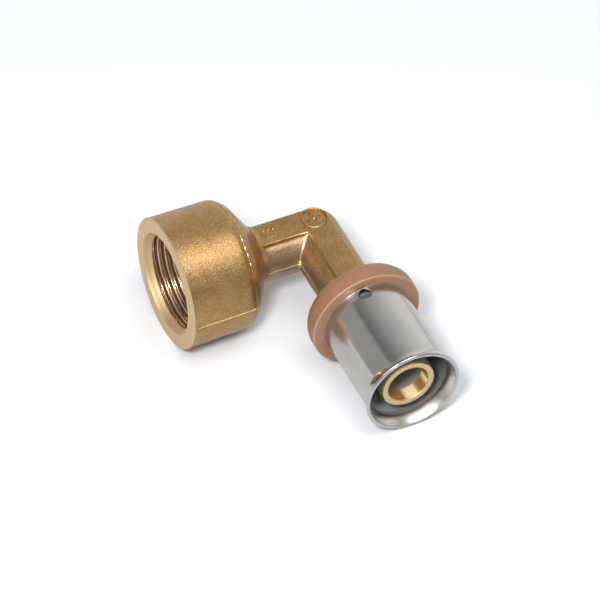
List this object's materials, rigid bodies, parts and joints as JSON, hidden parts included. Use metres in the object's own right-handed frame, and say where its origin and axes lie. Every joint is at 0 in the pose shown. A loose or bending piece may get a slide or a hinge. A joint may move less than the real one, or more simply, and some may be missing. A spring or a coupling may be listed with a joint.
{
  "type": "press elbow",
  "caption": "Right-angle fitting that joins multilayer pipe, pressed on a nozzle under a steel sleeve, to a male threaded pipe end.",
  "frame": {"origin": "middle of the threaded mouth, in the plane of its face", "axes": "the threaded mouth faces -X and its axis is X; the nozzle and its sleeve point to -Y; Z = 0 is the forging's parting plane, and +Z is the side that the picture looks down on"},
  "size_m": [0.0545, 0.0737, 0.0338],
  "materials": {
    "forged_brass": "satin forged skin, machined at the mouth, the thread and the nozzle",
    "ring_plastic": "satin moulded, terracotta brown",
    "sleeve_steel": "drawn and bright annealed, soft reflections",
    "seal_rubber": "smooth, dark"
  },
  "bodies": {
    "root": {"brass_body": "forged_brass", "fixing_ring": "ring_plastic", "press_sleeve": "sleeve_steel", "o_ring_outer": "seal_rubber", "o_ring_inner": "seal_rubber"}
  },
  "joints": []
}
